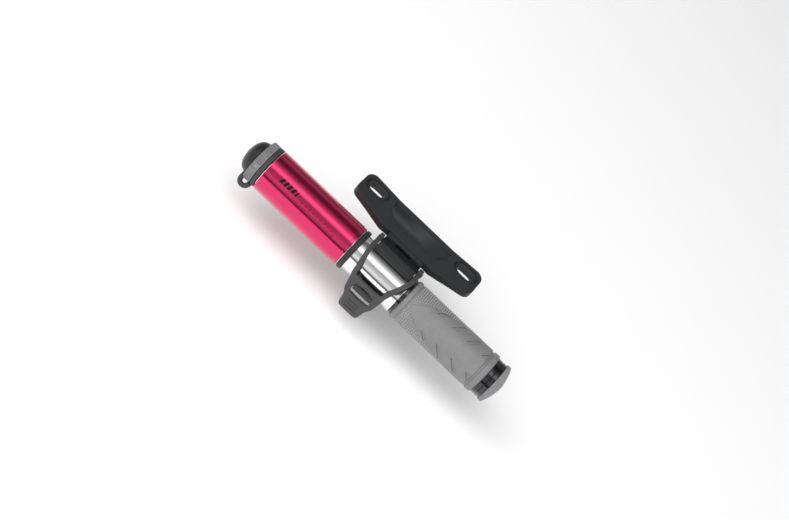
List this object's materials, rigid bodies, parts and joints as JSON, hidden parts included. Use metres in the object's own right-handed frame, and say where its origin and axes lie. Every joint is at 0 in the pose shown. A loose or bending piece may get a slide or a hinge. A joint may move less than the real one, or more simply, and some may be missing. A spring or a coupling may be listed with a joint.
{
  "type": "mini bicycle pump with bracket",
  "caption": "Mini bicycle hand pump with a pink sliding sleeve, silver barrel, grey grip, pull-out hose and a bottle-cage side bracket with a rubber strap.",
  "frame": {"origin": "on the bracket's flat underside, midway between its two bolt slots", "axes": "+X along the pump from the dust cap to the grip; +Z out of the plate, away from the bicycle's tube; the pump lies on the -Y side"},
  "size_m": [0.1799, 0.0582, 0.0351],
  "materials": {
    "pink_anodised": "polished, dyed anodising",
    "polished_aluminium": "polished",
    "grey_anodised": "satin anodised, finely knurled",
    "black_anodised": "gloss black anodised",
    "grey_rubber": "matt, moulded texture",
    "grey_plastic": "matt",
    "black_rubber": "matt",
    "black_plastic": "satin moulded",
    "brass": "machined",
    "spring_steel": "drawn wire"
  },
  "bodies": {
    "holder": {"bracket": "black_plastic", "barrel": "polished_aluminium", "barrel_guide": "black_plastic", "rod_seal": "black_rubber", "recess_ring": "black_anodised", "grip": "grey_rubber", "end_plug": "black_anodised", "end_plug_seal": "black_rubber", "end_cap": "grey_plastic"},
    "strap": {"strap": "black_rubber"},
    "sleeve_unit": {"sleeve": "pink_anodised", "sleeve_bush": "black_anodised", "head_block": "black_plastic", "piston_rod": "polished_aluminium", "hose_stop": "black_plastic", "piston": "black_plastic", "piston_seal": "black_rubber", "check_valve_spring": "spring_steel"},
    "valve_disc": {"check_valve_disc": "brass"},
    "hose_unit": {"head_body": "black_plastic", "head_gasket": "black_rubber", "hose": "black_rubber", "hose_ferrule": "polished_aluminium", "hose_end_plug": "brass", "hose_end_seal": "black_rubber", "tether_ring": "black_rubber", "cap_tether": "black_rubber"},
    "collar": {"head_collar": "grey_anodised"},
    "cap": {"dust_cap": "black_rubber"}
  },
  "joints": [
    {"name": "strap_open", "type": "hinge", "parent": "holder", "child": "strap", "pos_m": [0.0005, -0.0209, -0.0005], "axis": [-1, 0, 0], "range_deg": [0, 80]},
    {"name": "handle_stroke", "type": "slide", "parent": "holder", "child": "sleeve_unit", "axis": [-1, 0, 0], "range_m": [0, 0.11]},
    {"name": "valve_lift", "type": "slide", "parent": "sleeve_unit", "child": "valve_disc", "axis": [-1, 0, 0], "range_m": [0, 0.0008], "stiffness_N_per_m": 2, "deforming": ["check_valve_spring"]},
    {"name": "hose_pull", "type": "slide", "parent": "sleeve_unit", "child": "hose_unit", "axis": [-1, 0, 0], "range_m": [0, 0.1]},
    {"name": "collar_spin", "type": "hinge", "parent": "hose_unit", "child": "collar", "pos_m": [-0.08475, -0.0345, -0.0071], "axis": [-1, 0, 0], "continuous": true},
    {"name": "cap_flip", "type": "hinge", "parent": "hose_unit", "child": "cap", "pos_m": [-0.0848, -0.0433, -0.01653], "axis": [0, -0.7314, 0.682], "range_deg": [0, 160], "deforming": ["cap_tether"]}
  ]
}
